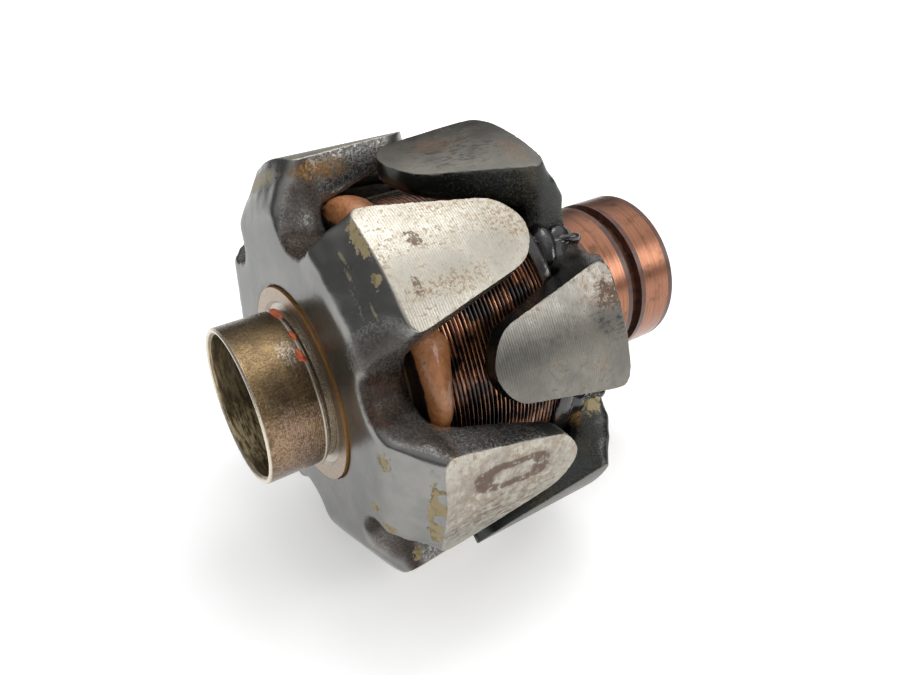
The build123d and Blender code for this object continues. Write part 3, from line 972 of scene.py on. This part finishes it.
def forging_blank(name, mesh):
    """An even net over the pole, whose turned faces are first moved outwards by the allowance, and
    drawn in along the axis where they meet the shoulder."""
    merged(mesh, 0.002)
    points = points_of(mesh)
    turned = radius_of(points) > POLE_RADIUS - 0.15
    points[turned, 1:] *= 1 + LATHE_ALLOWANCE / POLE_RADIUS
    root = turned & (np.abs(points[:, 0]) > SHOULDER_X)
    points[root, 0] -= SHOULDER_PULL * np.sign(points[root, 0])
    put_points(mesh, points)
    rough = bpy.data.objects.new(name + "_rough", mesh)
    scene.collection.objects.link(rough)
    net = rough.modifiers.new("net", "REMESH")
    net.mode = "VOXEL"
    net.voxel_size = NET_CELL * MM
    even = bpy.data.meshes.new_from_object(rough.evaluated_get(bpy.context.evaluated_depsgraph_get()))
    bpy.data.objects.remove(rough)
    return even


def softened(mesh):
    """Each round moves a point a share of the way to the mean of its neighbours along the edges."""
    points = points_of(mesh)
    edges = np.empty(len(mesh.edges) * 2, np.int32)
    mesh.edges.foreach_get("vertices", edges)
    first, second = edges.reshape(-1, 2).T
    count = len(points)
    neighbours = np.bincount(first, minlength=count) + np.bincount(second, minlength=count)
    forging = ramp(radius_of(points), HUB_SEAT, 2)
    shoulder = ramp(radius_of(points), SHOULDER_INSIDE, 1.5)
    shoulder *= ramp(np.abs(points[:, 0]), SHOULDER_NEAR, 1.5)
    for share, rounds in ((forging, SOFTENING_ROUNDS), (shoulder, SHOULDER_ROUNDS)):
        share = share[:, None] * SOFTENING
        for _ in range(rounds):
            total = np.empty_like(points)
            for k in range(3):
                from_second = np.bincount(first, points[second, k], count)
                total[:, k] = from_second + np.bincount(second, points[first, k], count)
            points += share * (total / neighbours[:, None] - points)
    return points


def turned_pole(points, seed):
    """Adds the die's unevenness outwards, then cuts all points back to the turned radius and face."""
    radial = points * (0, 1, 1)
    radial /= np.linalg.norm(radial, axis=1, keepdims=True)
    uneven = 0.16 * waves(points, 9.0, seed) + 0.07 * waves(points, 3.5, seed + 1)
    free = ramp(radius_of(points), HUB_SEAT, 2)[:, None]
    points += radial * free * uneven[:, None]
    points[:, 1:] *= np.minimum(1, POLE_RADIUS / radius_of(points))[:, None]
    points[:, 0] = np.clip(points[:, 0], -FACE_X, FACE_X)
    return points


def forged(name, node_name, material, seed):
    """The pole piece that stands for a CAD node: its blank, softened, then turned."""
    mesh = forging_blank(name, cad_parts[node_name].data.copy())
    put_points(mesh, turned_pole(softened(mesh), seed))
    merged(mesh, 0.1)
    mesh.name = name
    mesh.shade_smooth()
    mesh.set_sharp_from_angle(angle=math.radians(CREASE_DEGREES))
    mesh.materials.clear()
    mesh.materials.append(material)
    piece = bpy.data.objects.new(name, mesh)
    scene.collection.objects.link(piece)
    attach(piece, "root")
    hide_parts(node_name)
    print(name, len(mesh.vertices), "points", len(mesh.polygons), "faces")


forged("front_pole_forging", "front_pole_piece", front_paint, 21)
forged("rear_pole_forging", "rear_pole_piece", rear_paint, 33)

# %% [markdown]
# ## The field winding, turn by turn
# The coil's outer layer shows between the claws as thirty-odd round wires. One wire is carried along
# a helix whose rise is a little more than its thickness, so each turn is really there and catches
# its own highlight. Under it lies a plain layer that closes the gaps.

# %% Winding
WIRE = 0.7
WIRE_PITCH = 0.765
WINDING_RADIUS = 27.3
WINDING_HALF = 12.62
STEPS_PER_TURN = 96
UNDER_HALF = 12.8
UNDER_OUTSIDE = 26.75
UNDER_INSIDE = 18.15
turn_count = 2 * WINDING_HALF / WIRE_PITCH
steps = int(turn_count * STEPS_PER_TURN)
travel = np.linspace(0, turn_count, steps)
sag = 0.012 * np.sin(travel * math.tau * 1.1) + 0.03 * np.sin(travel * 2.3)
wire_x = -WINDING_HALF + travel * WIRE_PITCH + sag
helix = around(wire_x, WINDING_RADIUS - WIRE / 2 - np.abs(sag), travel * 360)
turns_grid = tube(helix, WIRE / 2 * MM, sides=8)
surface("winding_turns", turns_grid, wire_enamel, cap=True, stands_for=["field_winding"])

layer_x = np.array([-UNDER_HALF, UNDER_HALF, UNDER_HALF, -UNDER_HALF])
layer_r = np.array([UNDER_OUTSIDE, UNDER_OUTSIDE, UNDER_INSIDE, UNDER_INSIDE])
angles = np.linspace(0, 360, STEPS_PER_TURN, endpoint=False)
layer = around(layer_x[None, :], layer_r[None, :], angles[:, None])
under = surface("winding_under_layer", layer, wire_enamel, close_u=True)
under.data.shade_flat()

# %% [markdown]
# ## Moulded petals over the winding
# Each bobbin flange folds over the winding and swells into a rounded petal in every scoop. The
# profile of the flange, from its bore out and over to the petal's rolled lip and back, is carried
# once round the axis while its reach grows and shrinks, so the petals come out as one closed skin.

# %% Petals
BOBBIN_BORE = 17.05
FLANGE_OUTSIDE_X = 13.7
FLANGE_INSIDE_X = 12.8
FOLD_X = 13.5
RIM = 27.5
PETAL_TOP = 28.1
PETAL_HALF_ANGLE = 15.5


def petal_flange(name, side, phase, node_name, material, reaches, bulge, extra):
    """A profile carried round the axis: it folds over as far as a table by angle says, and domes up
    by a swell, the root of one minus the cube of the angle's share from the petal's middle."""
    angle = np.linspace(0, 360, 361)[:-1]
    local = (angle - phase) % CLAW_PITCH - CLAW_PITCH / 2
    which = ((angle - phase) // CLAW_PITCH).astype(int)
    swell = np.sqrt(1 - np.abs(np.clip(local / PETAL_HALF_ANGLE, -1, 1)) ** 3)
    wobble = 0.16 * np.sin(np.radians(angle * 7)) + 0.12 * np.sin(np.radians(angle * 17 + 40))
    reach = np.interp(local, np.linspace(-30, 30, 7), reaches) + wobble - np.asarray(extra)[which] * swell
    dome = bulge * swell * (1 + 0.2 * np.sin(which * 2.1))
    rows = [(FLANGE_OUTSIDE_X, BOBBIN_BORE), (FLANGE_OUTSIDE_X, 26.9), (13.6, 27.7 + 0.4 * dome)]
    for share in (0.06, 0.16, 0.3, 0.45, 0.6, 0.74, 0.86, 0.94):
        lift = np.sin(share**0.62 * math.pi) ** 0.6 * dome
        rows.append((FOLD_X + (reach - FOLD_X) * share, PETAL_TOP - 0.1 + lift))
    rows += [(reach + 0.03, PETAL_TOP - 0.15), (reach, 0.5 * (PETAL_TOP + RIM) - 0.05)]
    rows += [(reach + 0.1, RIM), (FLANGE_INSIDE_X, RIM), (FLANGE_INSIDE_X, BOBBIN_BORE)]
    along = side * np.stack([np.broadcast_to(x, angle.shape) for x, r in rows], -1)
    radius = np.stack([np.broadcast_to(r, angle.shape) for x, r in rows], -1)
    grid = around(along, radius, angle[:, None])
    if side < 0:
        grid = grid[::-1]
    surface(name, grid, material, close_u=True, stands_for=[node_name])


front_reach = (11.4, 10.4, 8.6, 9.4, 10.2, 10.9, 11.4)
front_extra = (1.0, 2.6, 0.4, 1.4, 0.6, 2.0)
rear_reach = (11.6, 11.4, 11.0, 10.8, 11.0, 11.4, 11.6)
rear_extra = (0.4, 0.0, 0.6, 0.2, 0.8, 0.3)
front_shape = (petal_resin, front_reach, 2.4, front_extra)
rear_shape = (dark_resin, rear_reach, 0.5, rear_extra)
petal_flange("front_petals", -1, 0.0, "bobbin_front_flange", *front_shape)
petal_flange("rear_petals", 1, CLAW_PITCH / 2, "bobbin_rear_flange", *rear_shape)

# %% [markdown]
# ## Lead wires
# The winding's two ends leave through scoops of the rear pole and run over its face and down to the
# slip rings. Each is a round wire along a smooth line through a few places, so it bends as a real
# wire does, with no corner at any of them.

# %% Leads
LEAD_RADIUS = 0.7
LEAD_POINTS = 72
lead_paths = {
    "lead_wire_start": [(13.6, 27.2, 118), (15.5, 26.2, 119), (19, 25.9, 120), (22.4, 26.2, 121)],
    "lead_wire_end": [(13.6, 27.2, 184), (15.5, 26.3, 185), (19, 25.9, 186), (22.4, 26.2, 187)],
}
for name, path in lead_paths.items():
    last = path[-1][2]
    path = path + [(23.9, 24.6, last), (24.3, 21.0, last), (24.1, 16.0, last), (24.6, 12.9, last)]
    route = around(*[np.array(column, float) for column in zip(*path)])
    wire = tube(smooth_path(route, LEAD_POINTS), LEAD_RADIUS * MM)
    surface(name, wire, black_resin, cap=True)

# %% [markdown]
# ## Resin lumps and dabs of sealant
# The leads are stuck to the iron with black resin, and red sealant was dabbed on the joint of sleeve
# and collar. Neither was shaped by a tool. A lump is a ball whose radius swells with a few slow
# waves, stretched along what it sits on and pressed half into it.

# %% Lumps


def lump(name, centre, extent, seed, material):
    """A ball stretched along, round and outwards; its radius is one plus a few slow waves."""
    slow_waves = np.random.default_rng(seed).uniform(-1, 1, (4, 4))
    u = np.linspace(0.02, math.pi - 0.02, 18)[:, None]
    v = np.linspace(0, math.tau, 28, endpoint=False)[None, :]
    x, y, z = np.sin(u) * np.cos(v), np.sin(u) * np.sin(v), np.cos(u) + 0 * v
    swell = 1.0
    for a, b, c, d in slow_waves:
        swell = swell + 0.11 * np.sin(3 * (a * x + b * y + c * z) + 5 * d)
    along = centre[0] + extent[0] * x * swell
    radius = centre[1] + extent[2] * z * swell
    degrees = centre[2] + np.degrees(extent[1] * y * swell / centre[1])
    surface(name, around(along, radius, degrees), material, cap=True)


resin_lumps = [
    ("resin_lump_a", (15.8, 25.9, 120.5), (2.6, 4.4, 1.6), 3),
    ("resin_lump_b", (20.3, 25.6, 117.0), (2.4, 2.2, 1.2), 4),
    ("resin_lump_c", (18.6, 25.4, 124.0), (2.8, 2.6, 1.2), 5),
    ("resin_lump_d", (15.8, 26.0, 186.5), (2.4, 3.8, 1.5), 6),
    ("resin_lump_e", (19.8, 25.6, 189.5), (2.3, 2.2, 1.1), 7),
]
sealant_dabs = [
    ("sealant_dab_a", (-24.6, 13.5, 73.0), (0.7, 2.6, 0.55), 11),
    ("sealant_dab_b", (-24.7, 13.5, 103.9), (0.4, 1.2, 0.4), 12),
    ("sealant_dab_c", (-25.0, 13.5, 120.0), (0.6, 1.4, 0.5), 13),
]
for name, centre, extent, seed in resin_lumps:
    lump(name, centre, extent, seed, black_resin)
for name, centre, extent, seed in sealant_dabs:
    lump(name, centre, extent, seed, sealant)

# %% [markdown]
# ## The bead at the sleeve's joint
# A thin uneven ridge runs round the foot of the sleeve, where it enters the collar. It is a circle
# carried round the axis, whose distance from the axis rises and falls a little.

# %% Joint bead
BEAD_X = -24.72
BEAD_RADIUS = 13.42
BEAD_THICKNESS = 0.26
bead_angle = np.linspace(0, 360, 180, endpoint=False)
bead_turn = np.linspace(0, math.tau, 10, endpoint=False)[None, :]
bead_x = BEAD_X + BEAD_THICKNESS * np.cos(bead_turn)
bead_rise = 0.03 * np.sin(np.radians(bead_angle * 5))[:, None]
bead_r = BEAD_RADIUS + BEAD_THICKNESS * np.sin(bead_turn) + bead_rise
bead = around(bead_x, bead_r, bead_angle[:, None])
surface("joint_bead", bead, collar_steel, close_u=True)

# %% [markdown]
# ## White table
# The rotor lies on a white sheet, and what the camera sees behind it is plain white. The sheet glows
# for the camera and in mirrored light only, a little less near the rotor, so it looks white and
# still keeps the rotor's shadow.

# %% Floor
FLOOR_Z = float(cad_box[0][2])
FLOOR_HALF = 3.0
NEAR_REACH, FAR_REACH = 0.12, 0.5
NEAR_MIRRORED, NEAR_SEEN = 0.62, 0.42
corners = [(x * FLOOR_HALF, y * FLOOR_HALF) for x, y in ((-1, -1), (1, -1), (1, 1), (-1, 1))]
floor_mesh = bpy.data.meshes.new("white_table")
floor_mesh.from_pydata([(x, y, FLOOR_Z) for x, y in corners], [], [(0, 1, 2, 3)])
floor = bpy.data.objects.new("white_table", floor_mesh)
scene.collection.objects.link(floor)
table_white, w, shader = start_material("table_white", Roughness=0.6)
shader["Base Color"].default_value = (0.8, 0.8, 0.8, 1.0)
shader["Specular IOR Level"].default_value = 0.1
light_path = table_white.node_tree.nodes.new("ShaderNodeLightPath")
seen = w.most(light_path.outputs["Is Camera Ray"], light_path.outputs["Is Glossy Ray"])
shader["Emission Color"].default_value = (1.0, 1.0, 1.0, 1.0)
ground = table_white.node_tree.nodes.new("ShaderNodeTexCoord")
reach = table_white.node_tree.nodes.new("ShaderNodeVectorMath")
reach.operation = "LENGTH"
w.give(reach.inputs[0], ground.outputs["Object"])
far = w.step(reach.outputs["Value"], NEAR_REACH, FAR_REACH)
near = w.blend(light_path.outputs["Is Camera Ray"], NEAR_MIRRORED, NEAR_SEEN)
w.give(shader["Emission Strength"], w.times(seen, w.blend(far, near, 1.0)))
floor_mesh.materials.append(table_white)
print("floor at", round(FLOOR_Z, 4))

# %% [markdown]
# ## World and lamps
# The world is pale below and above and dark at the horizon, because a glossy black shoulder that
# faces the horizon is dark in the photograph. A broad soft lamp and a small one hang over the rotor,
# and a window stands to the right of the camera.

# %% World
HORIZON_GLOW, TOP_GLOW, BELOW_GLOW = 0.10, 0.55, 0.9
world = bpy.data.worlds.new("studio")
scene.world = world
world.use_nodes = True
sky = Wiring(world.node_tree)
background = world.node_tree.nodes["Background"]
direction = world.node_tree.nodes.new("ShaderNodeTexCoord")
split = world.node_tree.nodes.new("ShaderNodeSeparateXYZ")
sky.give(split.inputs[0], direction.outputs["Generated"])
height = split.outputs["Z"]
glow = sky.blend(sky.step(height, 0.12, 0.75), HORIZON_GLOW, TOP_GLOW)
glow = sky.blend(sky.step(height, 0.02, -0.1), glow, BELOW_GLOW)
light_path = world.node_tree.nodes.new("ShaderNodeLightPath")
glow = sky.blend(light_path.outputs["Is Camera Ray"], glow, 1.0)
sky.give(background.inputs["Strength"], glow)
background.inputs["Color"].default_value = (1.0, 1.0, 1.0, 1.0)
print("world ready:", len(world.node_tree.nodes), "nodes")

# %% Lamps


def lamp(name, place, size, watts):
    """A soft square lamp at a place, turned so that it shines on the middle of the rotor."""
    data = bpy.data.lights.new(name, "AREA")
    data.shape = "SQUARE"
    data.size = size
    data.energy = watts
    thing = bpy.data.objects.new(name, data)
    thing.location = place
    thing.rotation_euler = (Vector() - Vector(place)).to_track_quat("-Z", "Y").to_euler()
    scene.collection.objects.link(thing)
    print(name, "of", watts, "watts")


lamp("overhead_softbox", (0.18, 0.04, 0.75), 1.1, 3.4)
lamp("overhead_bulb", (0.15, 0.0, 0.62), 0.22, 0.9)
lamp("side_window", (0.42, -0.48, 0.30), 0.28, 1.4)
